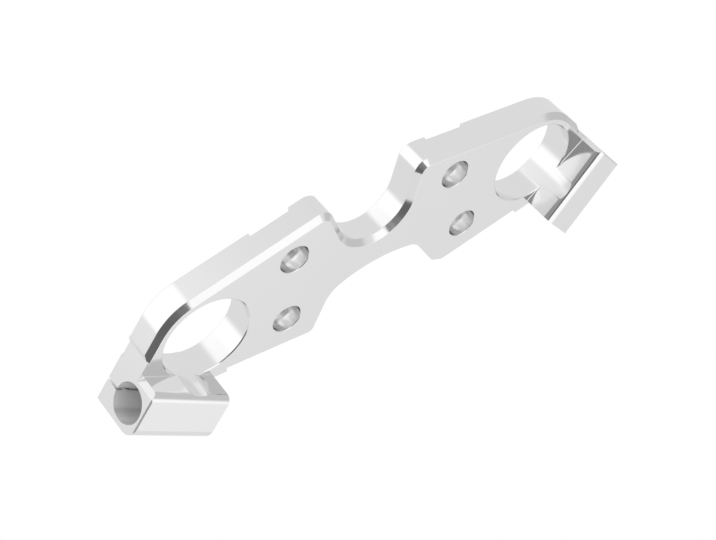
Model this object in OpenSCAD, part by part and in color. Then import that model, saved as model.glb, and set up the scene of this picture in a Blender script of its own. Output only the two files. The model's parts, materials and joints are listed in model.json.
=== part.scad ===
// Upper triple clamp for a motorcycle fork, milled from one billet and chromed.
// It clamps two fork tubes, and carries a socket for a handlebar stub outside each one.
// X runs from fork tube to fork tube, +Y is the side with the stem notch, +Z is up.
// The underside lies on z = 0, and x = 0, y = 0 is midway between the fork tubes.

/* [Fork tubes] */
// Diameter of the two fork tube bores
fork_d = 52; // [48:0.5:54]
// Distance between the fork tube axes
fork_spacing = 214; // [204:1:230]
// Small chamfer on the rims of the fork bores
fork_rim = 0.6; // [0.2:0.1:1.2]

/* [Plate] */
// Thickness of the plate
plate_t = 18.5; // [16:0.5:24]
// Wall left outside each fork bore, at the end and at the rear
end_wall = 6.6; // [5.6:0.1:9]
// Wall left between each fork bore and the front edge
front_wall = 8; // [6:0.1:10]
// Slope of the rear edge, which rises towards the notch
rear_slope = 9.5; // [6:0.5:12]
// Slope of the front edge, which falls towards the middle
front_slope = 8.8; // [6:0.1:11]
// Chamfer round the upper edge of the plate
top_chamfer = 3.1; // [1:0.1:4]
// Chamfer round the lower edge of the plate
low_chamfer = 1; // [0.4:0.1:1.6]

/* [Neck] */
// Distance from the line between the fork axes to the front edge at the middle
neck_front = 13.3; // [10:0.1:16]
// Radius of the shallow front hollow at the middle
neck_r = 72; // [60:1:100]
// Radius of the shoulder between the hollow and the slanted flank
shoulder_r = 16.5; // [10:0.5:20]
// Distance from the middle to the slanted flank, level with the front of the neck
flank_x = 26; // [24:0.5:29]
// Steepness of the slanted flanks
flank_slope = 63; // [56:0.5:70]
// Radius of the front corners
front_corner_r = 7; // [5:0.5:12]

/* [Stem notch] */
// Diameter of the round bottom of the notch
notch_d = 44.6; // [34:0.2:48]
// Distance from the line between the fork axes to the centre of the notch
notch_y = 30.2; // [28:0.1:34]
// Angle by which each side of the notch opens outwards
notch_flare = 17; // [8:0.5:22]
// Radius of the two lips at the mouth of the notch
lip_r = 8.5; // [5:0.5:11]

/* [Mounting holes] */
// Diameter of the screw holes
screw_d = 11; // [8:0.5:12]
// Diameter of the seats for the screw heads
seat_d = 17.5; // [14:0.5:20]
// Depth of the seats for the screw heads
seat_depth = 10; // [5:0.5:11]
// Distance from the middle to the rear screws
rear_screw_x = 51.7; // [50:0.1:58]
// Distance of the rear screws behind the line between the fork axes
rear_screw_y = 24.5; // [16:0.1:27]
// Distance from the middle to the front screws
front_screw_x = 58.7; // [54:0.1:60]
// Distance of the front screws before the line between the fork axes
front_screw_y = 19.6; // [16:0.1:22]
// Depth of the relief milled across the underside, below the screws
relief_depth = 3; // [1:0.1:4]
// Where the relief starts, measured from the middle
relief_in = 43; // [40:0.5:44]
// Where the relief ends, measured from the middle
relief_out = 68; // [66:0.5:72]

/* [Bar blocks] */
// Diameter of the sockets for the handlebar stubs
bar_d = 22.2; // [20:0.1:25.4]
// Depth of the sockets
bar_depth = 40; // [30:1:42]
// Direction in which the sockets point, turned from the X axis
bar_angle = 36.2; // [30:0.1:42]
// Angle by which the sockets point downwards
bar_droop = 5.8; // [0:0.1:8]
// Height of the socket's axis above the plate at its mouth
bar_rise = 1.2; // [0:0.1:4]
// Distance from the fork axis to the socket's axis, seen from above
bar_offset = 41.6; // [41:0.1:46]
// Wall between the socket and the inner side of the block
block_in_wall = 5.3; // [4:0.1:8]
// Wall between the socket and the outer side of the block
block_out_wall = 2.7; // [2:0.1:6]
// Wall over the socket
block_top_wall = 2.2; // [1.8:0.1:5]
// Length of the block, from its front to the mouth of the socket
block_len = 49.8; // [46:0.1:56]
// Distance from the fork axis to the mouth of the socket, along the block
mouth_u = 30.9; // [30:0.1:32]
// Radius of the outer upper edge of the block
block_out_r = 7.5; // [4:0.1:9]
// Radius of the inner upper edge of the block
block_in_r = 4.8; // [3.6:0.1:6]
// Chamfer of the inner corner of the block beside the mouth
mouth_chamfer = 2.8; // [1:0.1:4]
// Width of the slit below each socket
slit_w = 1.5; // [1:0.1:3]
// Diameter of the pinch screw holes that cross the slit
pinch_d = 5.3; // [4:0.1:6.4]
// Diameter of the seats for the pinch screw heads
pinch_seat_d = 9.4; // [8:0.1:9.8]
// Distance between the two pinch screws of a block
pinch_spacing = 20; // [14:0.5:24]
// Depth of the seats for the pinch screw heads
pinch_seat_depth = 5.5; // [3:0.1:6]
// Distance from the mouth of the socket to its first pinch screw
pinch_in = 10; // [8:0.5:12]

/* [Hidden] */
$fn = 96;
eps = 0.01;
over = 0.4;
reach = 400;
chrome = [0.85, 0.86, 0.88];

fork_x = fork_spacing / 2;
fork_r = fork_d / 2;
end_r = fork_r + end_wall;
bar_r = bar_d / 2;
bar_z = plate_t + bar_rise;
block_in = bar_offset - bar_r - block_in_wall;
block_out = bar_offset + bar_r + block_out_wall;
block_back = mouth_u - block_len;
seat_rim = 0.4;
mouth_rim = 0.8;
front_run_out = 9;
arc_step = 4;
step_turn = 120;
step_share = 0.4;
step_land = 0.5;
step_skew = 1.4;
lap = 1;
pinch_web = 0.6;
thread_cut = 1.1;

// Direction of an angle, and the crossing of two lines given by a point and an angle each
function along(a) = [cos(a), sin(a)];
function cross2(p, q) = p.x * q.y - p.y * q.x;
function meet(p, a, q, b) = p + along(a) * cross2(q - p, along(b)) / cross2(along(a), along(b));
function flip(points) = [for (i = [len(points) - 1 : -1 : 0]) [-points[i].x, points[i].y]];

// A corner at p with sides in the directions a and b, rounded with the radius r
function half_turn(a, b) = acos(along(a) * along(b)) / 2;
function touch(p, a, b, r) = p + along(a) * r / tan(half_turn(a, b));
function inward(a, b) = (along(a) + along(b)) / norm(along(a) + along(b));
function round_at(p, a, b, r) = p + inward(a, b) * r / sin(half_turn(a, b));

// A place beside the right fork tube, u towards the mouth of the socket and v outwards
function spot(u, v) = [fork_x, 0] + u * along(bar_angle) + v * along(bar_angle - 90);

// The straight edges of the plate, by a point on each
front_at = [fork_x, 0] - (fork_r + front_wall) * along(90 + front_slope);
rear_at = [fork_x, 0] + end_r * along(90 - rear_slope);
flank_at = [flank_x, -neck_front];
front_corner = meet(flank_at, -flank_slope, front_at, front_slope);
front_end = meet(front_at, front_slope, spot(block_back, 0), bar_angle - 90);

// The plate's end steps back to the mouth of the socket
step_dir = bar_angle - step_turn;
step_at = spot(end_r, end_r * step_share);
step_end = meet(step_at, step_dir, spot(mouth_u, 0), bar_angle - 90);

// The hollow at the front of the neck touches the shoulder, and that touches the flank
neck_at = [0, -neck_front - neck_r];
flank_out = along(-flank_slope - 90);
shoulder_from = flank_at + shoulder_r * flank_out - neck_at;
shoulder_b = shoulder_from * along(-flank_slope);
shoulder_c = shoulder_from * shoulder_from - pow(neck_r - shoulder_r, 2);
shoulder_run = shoulder_b + sqrt(shoulder_b * shoulder_b - shoulder_c);
shoulder_at = neck_at + shoulder_from - shoulder_run * along(-flank_slope);
shoulder_end = shoulder_at - shoulder_r * flank_out;
neck_turn = atan2(shoulder_at.y - neck_at.y, shoulder_at.x - neck_at.x);

// The sides of the notch touch its round bottom
notch_at = [0, notch_y];
notch_r = notch_d / 2;
notch_side = notch_at + notch_r * along(-notch_flare);
lip_corner = meet(notch_side, 90 - notch_flare, rear_at, -rear_slope);
lip_sides = [-rear_slope, -90 - notch_flare];
front_sides = [front_slope, 180 - flank_slope];

module both_sides() {
    children();
    mirror([1, 0, 0]) children();
}

// The spare material outside a rounded corner
module corner_waste(p, a, b, r) {
    difference() {
        polygon([p - eps * (along(a) + along(b)), touch(p, a, b, r), round_at(p, a, b, r),
            touch(p, b, a, r)]);
        translate(round_at(p, a, b, r)) circle(r);
    }
}

module neck_hollow() {
    far = flank_at + reach * along(-flank_slope);
    flank = [shoulder_at, shoulder_end, far];
    polygon(concat(flank, flip(flank)));
    both_sides() translate(shoulder_at) circle(shoulder_r);
    intersection() {
        translate(neck_at) circle(neck_r);
        polygon([neck_at, neck_at + 2 * neck_r * along(neck_turn),
            neck_at + 2 * neck_r * along(180 - neck_turn)]);
    }
    polygon([neck_at, shoulder_at, [-shoulder_at.x, shoulder_at.y]]);
}

module notch_opening() {
    side = [notch_side, notch_side + reach * along(90 - notch_flare)];
    translate(notch_at) circle(notch_r);
    polygon(concat([notch_at], side, flip(side)));
}

module plate_outline() {
    edge = [front_corner, front_end, spot(block_back, block_in + lap), spot(mouth_u, block_in + lap),
        step_end, step_at, spot(end_r, 0), rear_at, lip_corner];
    difference() {
        union() {
            polygon(concat(edge, flip(edge)));
            both_sides() translate([fork_x, 0]) circle(end_r);
        }
        neck_hollow();
        notch_opening();
        both_sides() {
            corner_waste(front_corner, front_sides[0], front_sides[1], front_corner_r);
            corner_waste(lip_corner, lip_sides[0], lip_sides[1], lip_r);
        }
    }
}

// Stations along a round edge, each with its point and the direction that faces outwards.
// The part lies inside the round for side 1 and outside it for side -1.
// A round that goes on from another starts with its second station.
function arc_stations(p, r, from, to, side, first = 0) = let (n = ceil(abs(to - from) / arc_step))
    [for (i = [first : n]) let (a = from + (to - from) * i / n) [p + r * along(a), side * along(a)]];
function flip_stations(list) = [for (i = [len(list) - 1 : -1 : 0])
    [[-list[i][0].x, list[i][0].y], [-list[i][1].x, list[i][1].y]]];

// The front edge from the middle to where its chamfer runs out, and the rear edge back to the middle
front_right = concat(
    arc_stations(neck_at, neck_r, 90, neck_turn, -1, 1),
    arc_stations(shoulder_at, shoulder_r, neck_turn, 90 - flank_slope, -1, 1),
    arc_stations(round_at(front_corner, front_sides[0], front_sides[1], front_corner_r),
        front_corner_r, 270 - flank_slope, 270 + front_slope, 1),
    [[meet(front_at, front_slope, [fork_x - front_run_out, 0], 90), along(270 + front_slope)]]);
rear_right = concat(
    [[spot(end_r, end_r * step_share - step_land),
        along(bar_angle) - step_skew * along(bar_angle - 90)]],
    arc_stations([fork_x, 0], end_r, bar_angle, 90 - rear_slope, 1),
    arc_stations(round_at(lip_corner, lip_sides[0], lip_sides[1], lip_r), lip_r,
        90 - rear_slope, 180 - notch_flare, 1),
    arc_stations(notch_at, notch_r, 360 - notch_flare, 270 + arc_step, -1));

mouth_side = [[spot(mouth_u, bar_offset), along(bar_angle)], [step_end, along(bar_angle)]];

// Cuts a chamfer of the width c along the stations, at the height z of the face that up points
// out of
module chamfer_strip(stations, c, z, up) {
    n = len(stations);
    section = [[-c - over, over], [over, over], [over, -c - over]];
    points = [for (s = stations) for (k = section)
        let (p = s[0] + k[0] * s[1]) [p.x, p.y, z + up * k[1]]];
    sides = [for (i = [0 : n - 2], k = [0 : 2]) let (a = 3 * i + k, b = 3 * i + (k + 1) % 3)
        up > 0 ? [b, a, a + 3, b + 3] : [a, b, b + 3, a + 3]];
    last = 3 * n - 1;
    caps = up > 0 ? [[0, 1, 2], [last, last - 1, last - 2]] : [[2, 1, 0], [last - 2, last - 1, last]];
    polyhedron(points, concat(sides, caps));
}

module edge_chamfers() {
    front = concat(flip_stations(front_right), [[[0, -neck_front], along(-90)]], front_right);
    rear = concat(rear_right, [[[0, notch_y - notch_r], along(90)]], flip_stations(rear_right));
    for (edge = [front, rear]) {
        chamfer_strip(edge, top_chamfer, plate_t, 1);
        chamfer_strip(edge, low_chamfer, 0, -1);
    }
    both_sides() chamfer_strip(mouth_side, low_chamfer, 0, -1);
}

module fork_bore() {
    translate([fork_x, 0, -plate_t]) cylinder(r = fork_r, h = 6 * plate_t);
}

module fork_rims() {
    wide = fork_r + fork_rim + eps;
    translate([fork_x, 0, plate_t - fork_rim]) cylinder(r1 = fork_r, r2 = wide, h = fork_rim + eps);
    translate([fork_x, 0, -eps]) cylinder(r1 = wide, r2 = fork_r, h = fork_rim + eps);
}

module plate() {
    difference() {
        linear_extrude(plate_t) plate_outline();
        edge_chamfers();
        both_sides() fork_rims();
    }
}

// Children are placed beside the right fork tube, with X towards the mouth of the socket
module beside_fork() {
    translate([fork_x, 0, 0]) rotate(bar_angle) children();
}

// Children are placed at the mouth of the socket, with -X into it
module at_mouth() {
    beside_fork() translate([mouth_u, -bar_offset, bar_z]) rotate([0, bar_droop, 0]) children();
}

module block_section() {
    inner = bar_r + block_in_wall;
    outer = bar_r + block_out_wall;
    top = bar_r + block_top_wall;
    difference() {
        translate([-outer, -2 * reach]) square([inner + outer, 2 * reach + top]);
        corner_waste([inner, top], 180, -90, block_in_r);
        corner_waste([-outer, top], 0, -90, block_out_r);
    }
}

module bar_block() {
    difference() {
        intersection() {
            beside_fork() translate([block_back, -block_out, 0])
                cube([block_len, block_out - block_in, reach]);
            at_mouth() translate([-reach / 2, 0, 0]) rotate([90, 0, 90])
                linear_extrude(reach) block_section();
        }
        beside_fork() translate([mouth_u, -block_in, plate_t + reach / 2]) rotate(45)
            cube([mouth_chamfer * sqrt(2), mouth_chamfer * sqrt(2), reach], center = true);
        beside_fork() translate([mouth_u, -bar_offset, bar_z + (bar_r + block_top_wall) / cos(bar_droop)])
            rotate([0, 45 + bar_droop / 2, 0])
            cube([mouth_rim * sqrt(2), reach, mouth_rim * sqrt(2)], center = true);
    }
}

module socket() {
    at_mouth() rotate([0, -90, 0]) translate([0, 0, -bar_r]) cylinder(r = bar_r, h = bar_depth + bar_r);
}

module slit() {
    beside_fork() translate([mouth_u - bar_depth, -bar_offset - slit_w / 2, -eps])
        cube([bar_depth + bar_r, slit_w, bar_z - bar_r / 2]);
}

// Pinch screws come from the outer side and are tapped into the inner jaw
module pinch_holes() {
    pinch_z = (bar_z - bar_r) / 2 + pinch_web;
    beside_fork() for (i = [0, 1])
        translate([mouth_u - pinch_in - i * pinch_spacing, -block_out, pinch_z]) rotate([-90, 0, 0]) {
            translate([0, 0, -eps]) cylinder(d = pinch_seat_d, h = pinch_seat_depth + eps);
            translate([0, 0, -eps]) cylinder(d = pinch_d, h = block_out - bar_offset);
            cylinder(d = pinch_d - thread_cut, h = block_out - bar_offset + bar_r);
        }
}

module screw_hole(x, y) {
    translate([x, y, 0]) {
        translate([0, 0, -plate_t]) cylinder(d = screw_d, h = 3 * plate_t);
        translate([0, 0, plate_t - seat_depth]) cylinder(d = seat_d, h = seat_depth + over);
        translate([0, 0, plate_t - seat_rim])
            cylinder(d1 = seat_d, d2 = seat_d + 2 * (seat_rim + eps), h = seat_rim + eps);
    }
}

module underside_relief() {
    translate([relief_in, -reach / 2, -eps]) cube([relief_out - relief_in, reach, relief_depth + eps]);
}

module clamp() {
    color(chrome) difference() {
        union() {
            plate();
            both_sides() bar_block();
        }
        both_sides() {
            fork_bore();
            socket();
            slit();
            pinch_holes();
            screw_hole(rear_screw_x, rear_screw_y);
            screw_hole(front_screw_x, -front_screw_y);
            underside_relief();
        }
    }
}

clamp();
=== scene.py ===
"""Looks of a chromed billet triple clamp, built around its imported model."""

import json
import math

import bmesh
import bpy
from mathutils import Matrix, Vector


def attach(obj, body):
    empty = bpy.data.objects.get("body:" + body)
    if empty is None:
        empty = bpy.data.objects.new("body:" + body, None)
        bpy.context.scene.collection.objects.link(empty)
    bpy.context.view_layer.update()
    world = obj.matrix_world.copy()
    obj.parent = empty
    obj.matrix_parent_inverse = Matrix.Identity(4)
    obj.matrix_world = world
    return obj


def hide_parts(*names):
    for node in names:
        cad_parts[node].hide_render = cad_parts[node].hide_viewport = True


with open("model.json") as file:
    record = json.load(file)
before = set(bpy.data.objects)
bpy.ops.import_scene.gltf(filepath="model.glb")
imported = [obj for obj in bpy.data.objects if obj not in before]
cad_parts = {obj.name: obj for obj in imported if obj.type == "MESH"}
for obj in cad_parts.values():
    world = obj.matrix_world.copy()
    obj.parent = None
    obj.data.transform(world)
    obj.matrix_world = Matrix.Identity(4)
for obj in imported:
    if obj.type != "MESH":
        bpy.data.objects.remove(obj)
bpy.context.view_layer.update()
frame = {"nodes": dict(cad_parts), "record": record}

bl_info = {
    "name": "Chromed triple clamp",
    "version": (1, 0, 0),
    "blender": (4, 5, 0),
    "location": "3D View > Sidebar > Clamp",
    "description": "Finishes a milled and chromed motorcycle triple clamp and sets it in a studio",
    "category": "Object",
}

NODE = "clamp"
BODY = "root"
MOUNTS = {mount["name"]: mount for mount in frame["record"]["mounts"]}

# Lengths in metres and areas in square metres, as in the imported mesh
MERGE_DISTANCE = 2e-6
SAME_PLACE = 1e-5
PLATE_TOP = 0.0185
LEVEL_SLACK = 0.0005
SHORTEST_ROOT_EDGE = 0.002
BLOCK_BEGINS_AT = 0.14
CHAMFER_END_AREA = (4e-6, 1e-5)
BORE_SLACK = 0.0003
SOCKET_DEPTH = (-0.06, -0.0001)
SOCKET_END_INSET = 0.001
SEAT_RADIUS = 0.0092
SEAT_LEVELS = (0.0005, 0.0184)
RELIEF_DEPTH = 0.00001

# The record's sizes are in millimetres
PER_METRE = 1000

# How far a normal lies along an axis: at most on a bore's or a socket's wall, at least on a step
BORE_WALL = 0.1
SOCKET_WALL = 0.9
STEP = 0.99

# Edges that turn less than this lie in one flat face
FLAT_ANGLE = math.radians(0.4)

# Places of the finishes in the body's list of materials
BORED, SEATED, FIRST_SOCKET = 1, 2, 3

# Places of a Mix node's inputs, and of its colour output
NUMBER_A, NUMBER_B = 2, 3
COLOR_A, COLOR_B = 6, 7
COLOR_RESULT = 2


class ClampFinish(bpy.types.PropertyGroup):
    """Finish of the clamp's surfaces"""

    edge_break: bpy.props.FloatProperty(
        name="Edge break", description="Width of the polished break on every sharp edge",
        default=0.00012, min=0.00005, max=0.001, precision=5, unit="LENGTH")
    root_fillet: bpy.props.FloatProperty(
        name="Root fillet", description="Width of the fillet where a block rises from the plate",
        default=0.00045, min=0.0002, max=0.003, precision=5, unit="LENGTH")
    edge_angle: bpy.props.FloatProperty(
        name="Edge angle", description="Edges that turn more than this are broken",
        default=math.radians(22), min=math.radians(10), max=math.radians(60), subtype="ANGLE")
    chrome_color: bpy.props.FloatVectorProperty(
        name="Chrome", description="Colour that polished chrome reflects",
        default=(0.905, 0.905, 0.905), min=0.0, max=1.0, subtype="COLOR")
    polish_roughness: bpy.props.FloatProperty(
        name="Polish roughness", description="Roughness of the polished outer faces",
        default=0.12, min=0.02, max=0.5)
    bored_roughness: bpy.props.FloatProperty(
        name="Bored roughness", description="Roughness inside the turned bores",
        default=0.13, min=0.02, max=0.6)
    seat_roughness: bpy.props.FloatProperty(
        name="Seat roughness", description="Roughness inside the screw seats",
        default=0.17, min=0.02, max=0.8)
    socket_color: bpy.props.FloatVectorProperty(
        name="Socket", description="Colour of the satin metal inside the sockets",
        default=(1.0, 1.0, 1.0), min=0.0, max=1.0, subtype="COLOR")
    socket_roughness: bpy.props.FloatProperty(
        name="Socket roughness", description="Roughness inside the sockets",
        default=0.4, min=0.02, max=1.0)


class StudioSettings(bpy.types.PropertyGroup):
    """Camera, floor and light"""

    camera_at: bpy.props.FloatVectorProperty(
        name="Camera place", description="Where the camera stands",
        default=(-0.32169, 0.64136, 0.46408), subtype="XYZ", unit="LENGTH")
    camera_right: bpy.props.FloatVectorProperty(
        name="Camera right", description="Direction of the picture's right side",
        default=(0.817975, -0.005267, 0.575230), subtype="DIRECTION")
    camera_look: bpy.props.FloatVectorProperty(
        name="Camera look", description="Direction in which the camera looks",
        default=(0.364475, -0.768892, -0.525322), subtype="DIRECTION")
    lens: bpy.props.FloatProperty(
        name="Lens", description="Focal length of the camera in millimetres",
        default=79.1, min=20, max=200)
    floor_size: bpy.props.FloatProperty(
        name="Floor", description="Side of the pale floor", default=8.0, min=1.0, unit="LENGTH")
    floor_glow: bpy.props.FloatProperty(
        name="Floor brightness", description="Brightness of the pale floor",
        default=1.0, min=0.0, max=5.0)
    sky_glow: bpy.props.FloatProperty(
        name="Sky brightness", description="Brightness of the soft light from all round",
        default=0.78, min=0.0, max=5.0)


def add_node(tree, kind, inputs=None, **settings):
    """A node of a tree, with its settings and the values or links of its inputs."""
    node = tree.nodes.new(kind)
    for name, value in settings.items():
        setattr(node, name, value)
    for name, value in (inputs or {}).items():
        if isinstance(value, bpy.types.NodeSocket):
            tree.links.new(value, node.inputs[name])
        else:
            node.inputs[name].default_value = value
    return node


def make_group(name, inputs, outputs):
    """An empty shader node group with the named sockets, and its two end nodes."""
    group = bpy.data.node_groups.new(name, "ShaderNodeTree")
    for socket, kind, value in inputs:
        item = group.interface.new_socket(socket, in_out="INPUT", socket_type=kind)
        item.default_value = value
    for socket, kind in outputs:
        group.interface.new_socket(socket, in_out="OUTPUT", socket_type=kind)
    return group, group.nodes.new("NodeGroupInput"), group.nodes.new("NodeGroupOutput")


def polishing_group():
    """Faint haze and hairlines that a buffing wheel leaves, as a roughness and a height."""
    group, start, end = make_group(
        "polishing",
        [("Roughness", "NodeSocketFloat", 0.1), ("Haze", "NodeSocketFloat", 0.03),
         ("Hairline", "NodeSocketFloat", 0.5), ("Vector", "NodeSocketVector", (0.0, 0.0, 0.0))],
        [("Roughness", "NodeSocketFloat"), ("Height", "NodeSocketFloat")])
    cloud = add_node(group, "ShaderNodeTexNoise",
                     {"Vector": start.outputs["Vector"], "Scale": 45.0, "Detail": 4.0,
                      "Roughness": 0.55})
    turned = add_node(group, "ShaderNodeMapping",
                      {"Vector": start.outputs["Vector"], "Rotation": (0.0, 0.0, math.radians(35)),
                       "Scale": (60.0, 1500.0, 700.0)})
    lines = add_node(group, "ShaderNodeTexNoise",
                     {"Vector": turned.outputs["Vector"], "Scale": 1.0, "Detail": 2.0, "Roughness": 0.5})
    haze = add_node(group, "ShaderNodeMath",
                    {0: cloud.outputs["Fac"], 1: start.outputs["Haze"]}, operation="MULTIPLY")
    rough = add_node(group, "ShaderNodeMath",
                     {0: haze.outputs[0], 1: start.outputs["Roughness"]}, operation="ADD")
    height = add_node(group, "ShaderNodeMath",
                      {0: lines.outputs["Fac"], 1: start.outputs["Hairline"]}, operation="MULTIPLY")
    group.links.new(rough.outputs[0], end.inputs["Roughness"])
    group.links.new(height.outputs[0], end.inputs["Height"])
    return group


def turning_group():
    """Fine rings that a boring tool leaves along the axis of a hole, as a roughness and a height."""
    group, start, end = make_group(
        "turning",
        [("Roughness", "NodeSocketFloat", 0.15), ("Pitch", "NodeSocketFloat", 2500.0),
         ("Vector", "NodeSocketVector", (0.0, 0.0, 0.0))],
        [("Roughness", "NodeSocketFloat"), ("Height", "NodeSocketFloat")])
    parts = add_node(group, "ShaderNodeSeparateXYZ", {0: start.outputs["Vector"]})
    ring = add_node(group, "ShaderNodeMath",
                    {0: parts.outputs["Z"], 1: start.outputs["Pitch"]}, operation="MULTIPLY")
    wander = add_node(group, "ShaderNodeTexNoise",
                      {"W": ring.outputs[0], "Scale": 1.0, "Detail": 3.0}, noise_dimensions="1D")
    cloud = add_node(group, "ShaderNodeTexNoise",
                     {"Vector": start.outputs["Vector"], "Scale": 90.0, "Detail": 3.0})
    haze = add_node(group, "ShaderNodeMath", {0: cloud.outputs["Fac"], 1: 0.06}, operation="MULTIPLY")
    rough = add_node(group, "ShaderNodeMath",
                     {0: haze.outputs[0], 1: start.outputs["Roughness"]}, operation="ADD")
    group.links.new(rough.outputs[0], end.inputs["Roughness"])
    group.links.new(wander.outputs["Fac"], end.inputs["Height"])
    return group


def honing_group():
    """Long streaks that a hone leaves along a socket, as a colour and a height."""
    group, start, end = make_group(
        "honing",
        [("Dark", "NodeSocketColor", (0.74, 0.74, 0.74, 1.0)),
         ("Light", "NodeSocketColor", (1.0, 1.0, 1.0, 1.0)),
         ("Axis", "NodeSocketVector", (1.0, 0.0, 0.0)),
         ("Vector", "NodeSocketVector", (0.0, 0.0, 0.0))],
        [("Color", "NodeSocketColor"), ("Height", "NodeSocketFloat")])
    along = add_node(group, "ShaderNodeVectorMath",
                     {0: start.outputs["Vector"], 1: start.outputs["Axis"]}, operation="PROJECT")
    across = add_node(group, "ShaderNodeVectorMath",
                      {0: start.outputs["Vector"], 1: along.outputs[0]}, operation="SUBTRACT")
    streaks = add_node(group, "ShaderNodeTexNoise",
                       {"Vector": across.outputs[0], "Scale": 260.0, "Detail": 3.0, "Roughness": 0.5})
    strength = add_node(group, "ShaderNodeMapRange",
                        {"Value": streaks.outputs["Fac"], "From Min": 0.36, "From Max": 0.62})
    shade = add_node(group, "ShaderNodeMix",
                     {"Factor": strength.outputs[0], COLOR_A: start.outputs["Dark"],
                      COLOR_B: start.outputs["Light"]}, data_type="RGBA")
    group.links.new(shade.outputs[COLOR_RESULT], end.inputs["Color"])
    group.links.new(streaks.outputs["Fac"], end.inputs["Height"])
    return group


def metal_material(name, color, roughness, group, values, metallic=1.0, bump=0.02):
    """Metal whose fine relief, and what else varies over it, comes from a finish group."""
    material = bpy.data.materials.new(name)
    material.use_nodes = True
    tree = material.node_tree
    shader = tree.nodes["Principled BSDF"]
    shader.inputs["Base Color"].default_value = (*color, 1.0)
    shader.inputs["Roughness"].default_value = roughness
    shader.inputs["Metallic"].default_value = metallic
    place = add_node(tree, "ShaderNodeTexCoord")
    finish = add_node(tree, "ShaderNodeGroup", node_tree=group)
    tree.links.new(place.outputs["Object"], finish.inputs["Vector"])
    for socket, value in values.items():
        finish.inputs[socket].default_value = value
    relief = add_node(tree, "ShaderNodeBump",
                      {"Strength": bump, "Distance": RELIEF_DEPTH,
                       "Height": finish.outputs["Height"]})
    if "Color" in finish.outputs:
        tree.links.new(finish.outputs["Color"], shader.inputs["Base Color"])
    if "Roughness" in finish.outputs:
        finish.inputs["Roughness"].default_value = roughness
        tree.links.new(finish.outputs["Roughness"], shader.inputs["Roughness"])
    tree.links.new(relief.outputs["Normal"], shader.inputs["Normal"])
    return material


def in_bore(point, mount, slack=BORE_SLACK):
    """Whether a point lies within the radius of a round mount, with some slack."""
    axis = Vector(mount["axis"])
    away = point - Vector(mount["pos_m"])
    across = (away - axis * away.dot(axis)).length
    return across < mount["dims"]["r_mm"] / PER_METRE + slack


def in_socket(face, mount):
    """Whether a face belongs to the wall or the end of a socket."""
    axis = Vector(mount["axis"])
    away = face.center - Vector(mount["pos_m"])
    deepest, mouth = SOCKET_DEPTH
    if not deepest < away.dot(axis) < mouth:
        return False
    on_wall = in_bore(face.center, mount) and abs(face.normal.dot(axis)) < SOCKET_WALL
    on_end = in_bore(face.center, mount, -SOCKET_END_INSET)
    return on_wall or on_end


def in_seat(face, pattern):
    """Whether a face belongs to one of the two screw seats of a pattern."""
    away = face.center - Vector(pattern["pos_m"])
    aside = abs(away.x) - pattern["dims"]["spacing_x_mm"] / PER_METRE / 2
    lowest, highest = SEAT_LEVELS
    return math.hypot(aside, away.y) < SEAT_RADIUS and lowest < face.center.z < highest


def is_chamfer_end(face):
    """Whether a face is one of the two small upright steps where the chamfer stops at a block."""
    smallest, largest = CHAMFER_END_AREA
    upright_triangle = len(face.verts) == 3 and abs(face.normal.x) > STEP
    at_block = max(abs(vert.co.x) for vert in face.verts) > BLOCK_BEGINS_AT
    return upright_triangle and at_block and smallest < face.calc_area() < largest


def run_out(form, wall):
    """Carries the chamfer on past its end step, to the block's own end face."""
    low = min(wall.verts, key=lambda vert: vert.co.z)
    corner = min((vert for vert in wall.verts if vert != low),
                 key=lambda vert: (vert.co.xy - low.co.xy).length)
    inner = next(vert for vert in wall.verts if vert not in (low, corner))
    chamfer = next(face for face in low.link_faces
                   if inner in face.verts and face != wall)
    normal = chamfer.normal.copy()

    def next_on_top(vert, known):
        """The next vertex along the top edge that isn't known yet."""
        ends = [edge.other_vert(vert) for edge in vert.link_edges]
        return next(end for end in ends
                    if end not in known and abs(end.co.z - vert.co.z) < SAME_PLACE)

    def drop(vert):
        """The point below a top vertex where its upright edge meets the chamfer's plane."""
        upright = next(edge for edge in vert.link_edges
                       if (edge.other_vert(vert).co.xy - vert.co.xy).length < SAME_PLACE)
        away = vert.co - inner.co
        height = inner.co.z - (normal.x * away.x + normal.y * away.y) / normal.z
        _, point = bmesh.utils.edge_split(upright, vert, 0.5)
        point.co.z = height
        return point

    def split(first, second):
        """Cuts the face that two vertices share, from one to the other."""
        shared = next(face for face in first.link_faces if second in face.verts)
        bmesh.utils.face_split(shared, first, second)

    near = next_on_top(corner, (inner, low))
    far = next_on_top(near, (corner,))
    near_low, far_low = drop(near), drop(far)
    split(inner, far)
    split(low, near_low)
    split(near_low, far_low)
    ridge = {low, corner, inner, near, far, near_low, far_low}
    gone = [face for face in form.faces if set(face.verts) <= ridge]
    bmesh.ops.delete(form, geom=gone, context="FACES")
    for points in ((inner, low, near_low, far_low), (inner, far_low, far)):
        form.faces.new(points).normal_update()


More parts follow.
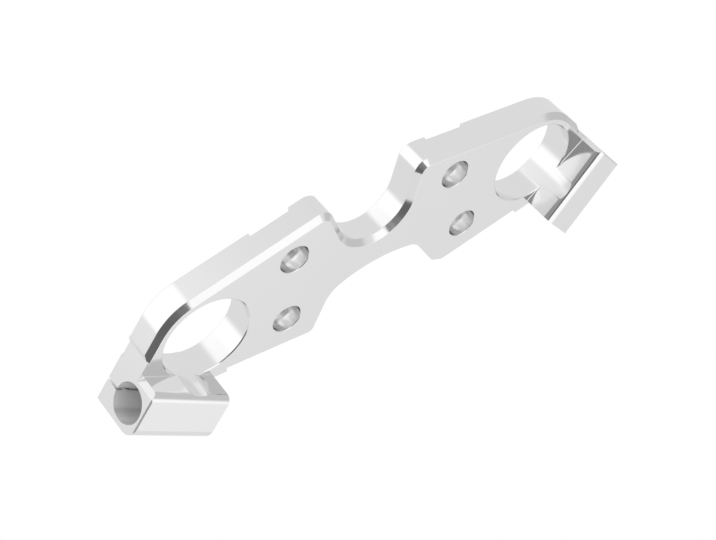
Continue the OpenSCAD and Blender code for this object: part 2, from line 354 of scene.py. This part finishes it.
class CLAMP_OT_body(bpy.types.Operator):
    """Finish the clamp: one copy of the machined body with broken edges and chrome"""

    bl_idname = "clamp.body"
    bl_label = "Clamp body"

    def execute(self, context):
        finish = context.scene.clamp_finish
        source = frame["nodes"][NODE]
        mesh = source.data.copy()
        mesh.name = "clamp_body"
        body = bpy.data.objects.new("clamp_body", mesh)
        context.scene.collection.objects.link(body)
        self.clean(mesh, finish)
        self.paint(mesh, finish)
        self.soften(body, finish)
        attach(body, BODY)
        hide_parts(NODE)
        return {"FINISHED"}

    def clean(self, mesh, finish):
        """Joins the loose triangles into plain faces, mends the mesh and marks the edges.

        The mending takes out the stray slivers that hang by an open edge, and runs the chamfer out.
        """
        form = bmesh.new()
        form.from_mesh(mesh)
        bmesh.ops.remove_doubles(form, verts=form.verts, dist=MERGE_DISTANCE)
        bmesh.ops.dissolve_limit(form, angle_limit=FLAT_ANGLE, verts=form.verts, edges=form.edges)
        slivers = [face for face in form.faces if any(edge.is_boundary for edge in face.edges)]
        bmesh.ops.delete(form, geom=slivers, context="FACES")
        bmesh.ops.recalc_face_normals(form, faces=form.faces)
        for wall in [face for face in form.faces if is_chamfer_end(face)]:
            run_out(form, wall)
        bmesh.ops.recalc_face_normals(form, faces=form.faces)
        self.mark_edges(form, finish)
        form.to_mesh(mesh)
        form.free()

    def mark_edges(self, form, finish):
        """Gives the sharp edges their share of the bevel's width: a break, or a fillet at a root."""
        weight = form.edges.layers.float.new("bevel_weight_edge")
        for edge in form.edges:
            turn = edge.calc_face_angle_signed(0)
            edge.smooth = abs(turn) < finish.edge_angle
            if edge.smooth:
                continue
            edge[weight] = finish.edge_break / finish.root_fillet
            level = min(vert.co.z for vert in edge.verts)
            at_root = turn < 0 and abs(level - PLATE_TOP) < LEVEL_SLACK
            if at_root and edge.calc_length() > SHORTEST_ROOT_EDGE:
                edge[weight] = 1.0

    def paint(self, mesh, finish):
        """Polish outside, a turned finish in the bores and seats and honed satin in the sockets."""
        polish = polishing_group()
        turned = turning_group()
        mesh.materials.clear()
        mesh.materials.append(metal_material(
            "polished_chrome", finish.chrome_color, finish.polish_roughness, polish,
            {"Haze": 0.03, "Hairline": 0.5}))
        mesh.materials.append(metal_material(
            "bored_chrome", finish.chrome_color, finish.bored_roughness, turned,
            {"Pitch": 2500.0}, bump=0.06))
        mesh.materials.append(metal_material(
            "seat_chrome", finish.chrome_color, finish.seat_roughness, turned,
            {"Pitch": 2500.0}, bump=0.06))
        bores = [MOUNTS["fork_bore_left"], MOUNTS["fork_bore_right"]]
        sockets = [MOUNTS["stub_socket_left"], MOUNTS["stub_socket_right"]]
        honed = honing_group()
        for socket in sockets:
            mesh.materials.append(metal_material(
                socket["name"] + "_satin", finish.socket_color, finish.socket_roughness, honed,
                {"Light": (*finish.socket_color, 1.0), "Axis": socket["axis"]},
                metallic=0.22, bump=0.06))
        seats = [MOUNTS["screws_rear"], MOUNTS["screws_front"]]
        for face in mesh.polygons:
            face.use_smooth = True
            upright = abs(face.normal.z) < BORE_WALL
            if upright and any(in_bore(face.center, bore) for bore in bores):
                face.material_index = BORED
            if any(in_seat(face, pattern) for pattern in seats):
                face.material_index = SEATED
            for index, socket in enumerate(sockets):
                if in_socket(face, socket):
                    face.material_index = FIRST_SOCKET + index

    def soften(self, body, finish):
        """Rounds the marked edges and keeps the flat faces flat."""
        bevel = body.modifiers.new("edge_break", "BEVEL")
        bevel.width = finish.root_fillet
        bevel.segments = 2
        bevel.limit_method = "WEIGHT"
        bevel.harden_normals = True
        bevel.use_clamp_overlap = False
        weigh = body.modifiers.new("flat_faces", "WEIGHTED_NORMAL")
        weigh.keep_sharp = True
        weigh.weight = 60


# Soft panels round the clamp: azimuth, half width, lowest and highest elevation and soft edge,
# all in degrees, then brightness. A later panel covers an earlier one.
PANELS = {
    "overhead": (0, 180, 52, 90, 14, 1.06),
    "side_band": (-78, 34, 36, 56, 10, 0.9),
    "dim_side": (-2, 26, -20, 46, 16, 0.58),
    "white_wall": (74, 26, 46, 90, 9, 1.1),
    "low_flag": (124, 20, -14, 36, 12, 0.3),
    "flag_edge": (117, 23, 37, 60, 4, 0.15),
    "flag": (164, 38, 35, 60, 9, 0.12),
    "low_wall": (134.5, 41.5, -90, -24, 21, 1.2),
    "low_notch": (114, 16, -31, -18, 7, 0.78),
    "low_side": (-52, 12, -70, -8, 16, 1.0),
}


def panel_group():
    """Mask of a soft panel that faces the clamp from far off."""
    group, start, end = make_group(
        "panel",
        [("Direction", "NodeSocketVector", (0.0, 0.0, 0.0)), ("Azimuth", "NodeSocketFloat", 0.0),
         ("Half width", "NodeSocketFloat", 0.5), ("Low", "NodeSocketFloat", 0.0),
         ("High", "NodeSocketFloat", 1.0), ("Soft", "NodeSocketFloat", 0.1)],
        [("Mask", "NodeSocketFloat")])
    parts = add_node(group, "ShaderNodeSeparateXYZ", {0: start.outputs["Direction"]})
    heading = add_node(group, "ShaderNodeMath",
                       {0: parts.outputs["Y"], 1: parts.outputs["X"]}, operation="ARCTAN2")
    turned = add_node(group, "ShaderNodeMath",
                      {0: heading.outputs[0], 1: start.outputs["Azimuth"]}, operation="SUBTRACT")
    wrapped = add_node(group, "ShaderNodeMath",
                       {0: turned.outputs[0], 1: math.pi, 2: -math.pi}, operation="WRAP")
    aside = add_node(group, "ShaderNodeMath", {0: wrapped.outputs[0]}, operation="ABSOLUTE")
    height = add_node(group, "ShaderNodeMath", {0: parts.outputs["Z"]}, operation="ARCSINE")
    masks = []
    for inner, outer in ((start.outputs["Half width"], aside.outputs[0]),
                         (height.outputs[0], start.outputs["Low"]),
                         (start.outputs["High"], height.outputs[0])):
        inside = add_node(group, "ShaderNodeMath", {0: inner, 1: outer}, operation="SUBTRACT")
        share = add_node(group, "ShaderNodeMath",
                         {0: inside.outputs[0], 1: start.outputs["Soft"]}, operation="DIVIDE")
        masks.append(add_node(group, "ShaderNodeMapRange",
                              {"Value": share.outputs[0], "From Min": -0.5, "From Max": 0.5},
                              interpolation_type="SMOOTHSTEP").outputs["Result"])
    first = add_node(group, "ShaderNodeMath", {0: masks[0], 1: masks[1]}, operation="MULTIPLY")
    both = add_node(group, "ShaderNodeMath", {0: first.outputs[0], 1: masks[2]}, operation="MULTIPLY")
    group.links.new(both.outputs[0], end.inputs["Mask"])
    return group


def glow_material(name, value):
    """A surface that shines evenly by itself."""
    material = bpy.data.materials.new(name)
    material.use_nodes = True
    tree = material.node_tree
    tree.nodes.clear()
    glow = add_node(tree, "ShaderNodeEmission", {"Color": (1.0, 1.0, 1.0, 1.0), "Strength": value})
    out = add_node(tree, "ShaderNodeOutputMaterial")
    tree.links.new(glow.outputs[0], out.inputs["Surface"])
    return material


def sheet(context, name, half, material):
    """A level square round the origin, with the given half side."""
    mesh = bpy.data.meshes.new(name)
    corners = [(-half, -half, 0), (half, -half, 0), (half, half, 0), (-half, half, 0)]
    mesh.from_pydata(corners, [], [(0, 1, 2, 3)])
    mesh.materials.append(material)
    level = bpy.data.objects.new(name, mesh)
    context.scene.collection.objects.link(level)
    return level


class CLAMP_OT_studio(bpy.types.Operator):
    """Set the pale floor, the soft light and the camera"""

    bl_idname = "clamp.studio"
    bl_label = "Studio"

    def execute(self, context):
        studio = context.scene.clamp_studio
        self.floor(context, studio)
        self.sky(context, studio)
        context.scene.view_settings.view_transform = "Standard"
        self.camera(context, studio)
        return {"FINISHED"}

    def floor(self, context, studio):
        """The pale floor. The chrome doesn't reflect it, so the panels light it from below."""
        floor = sheet(context, "floor", studio.floor_size / 2,
                      glow_material("pale_floor", studio.floor_glow))
        floor.visible_glossy = False

    def sky(self, context, studio):
        """Soft light from all round, with brighter and darker panels."""
        world = bpy.data.worlds.new("studio")
        context.scene.world = world
        world.use_nodes = True
        tree = world.node_tree
        tree.nodes.clear()
        place = add_node(tree, "ShaderNodeTexCoord")
        group = panel_group()
        value = add_node(tree, "ShaderNodeValue")
        value.outputs[0].default_value = studio.sky_glow
        level = value.outputs[0]
        for name, (azimuth, width, low, high, soft, glow) in PANELS.items():
            panel = add_node(tree, "ShaderNodeGroup", node_tree=group, name=name)
            tree.links.new(place.outputs["Generated"], panel.inputs["Direction"])
            angles = {"Azimuth": azimuth, "Half width": width, "Low": low, "High": high, "Soft": soft}
            for socket, angle in angles.items():
                panel.inputs[socket].default_value = math.radians(angle)
            mix = add_node(tree, "ShaderNodeMix",
                           {"Factor": panel.outputs["Mask"], NUMBER_A: level, NUMBER_B: glow})
            level = mix.outputs[0]
        light = add_node(tree, "ShaderNodeBackground", {"Color": level})
        out = add_node(tree, "ShaderNodeOutputWorld")
        tree.links.new(light.outputs[0], out.inputs["Surface"])

    def camera(self, context, studio):
        """The camera, from its place, its look and the direction of the picture's right side."""
        data = bpy.data.cameras.new("camera")
        data.sensor_width = 36.0
        data.lens = studio.lens
        camera = bpy.data.objects.new("camera", data)
        context.scene.collection.objects.link(camera)
        look = Vector(studio.camera_look).normalized()
        right = Vector(studio.camera_right).normalized()
        up = right.cross(look)
        turn = Matrix((right, up, -look)).transposed().to_4x4()
        camera.matrix_world = Matrix.Translation(studio.camera_at) @ turn
        context.scene.camera = camera


class CLAMP_PT_panel(bpy.types.Panel):
    """Lists the clamp's pieces and its studio"""

    bl_idname = "CLAMP_PT_panel"
    bl_label = "Triple clamp"
    bl_space_type = "VIEW_3D"
    bl_region_type = "UI"
    bl_category = "Clamp"

    def draw(self, context):
        column = self.layout.column()
        for settings in (context.scene.clamp_finish, context.scene.clamp_studio):
            for name in settings.__annotations__:
                column.prop(settings, name)
        column.operator(CLAMP_OT_body.bl_idname)
        column.operator(CLAMP_OT_studio.bl_idname)


CLASSES = (ClampFinish, StudioSettings, CLAMP_OT_body, CLAMP_OT_studio, CLAMP_PT_panel)


def register():
    for item in CLASSES:
        bpy.utils.register_class(item)
    bpy.types.Scene.clamp_finish = bpy.props.PointerProperty(type=ClampFinish)
    bpy.types.Scene.clamp_studio = bpy.props.PointerProperty(type=StudioSettings)


def unregister():
    del bpy.types.Scene.clamp_studio
    del bpy.types.Scene.clamp_finish
    for item in reversed(CLASSES):
        bpy.utils.unregister_class(item)


def main():
    """Builds the clamp and its studio."""
    register()
    bpy.ops.clamp.body()
    bpy.ops.clamp.studio()


if __name__ == "__main__":
    main()
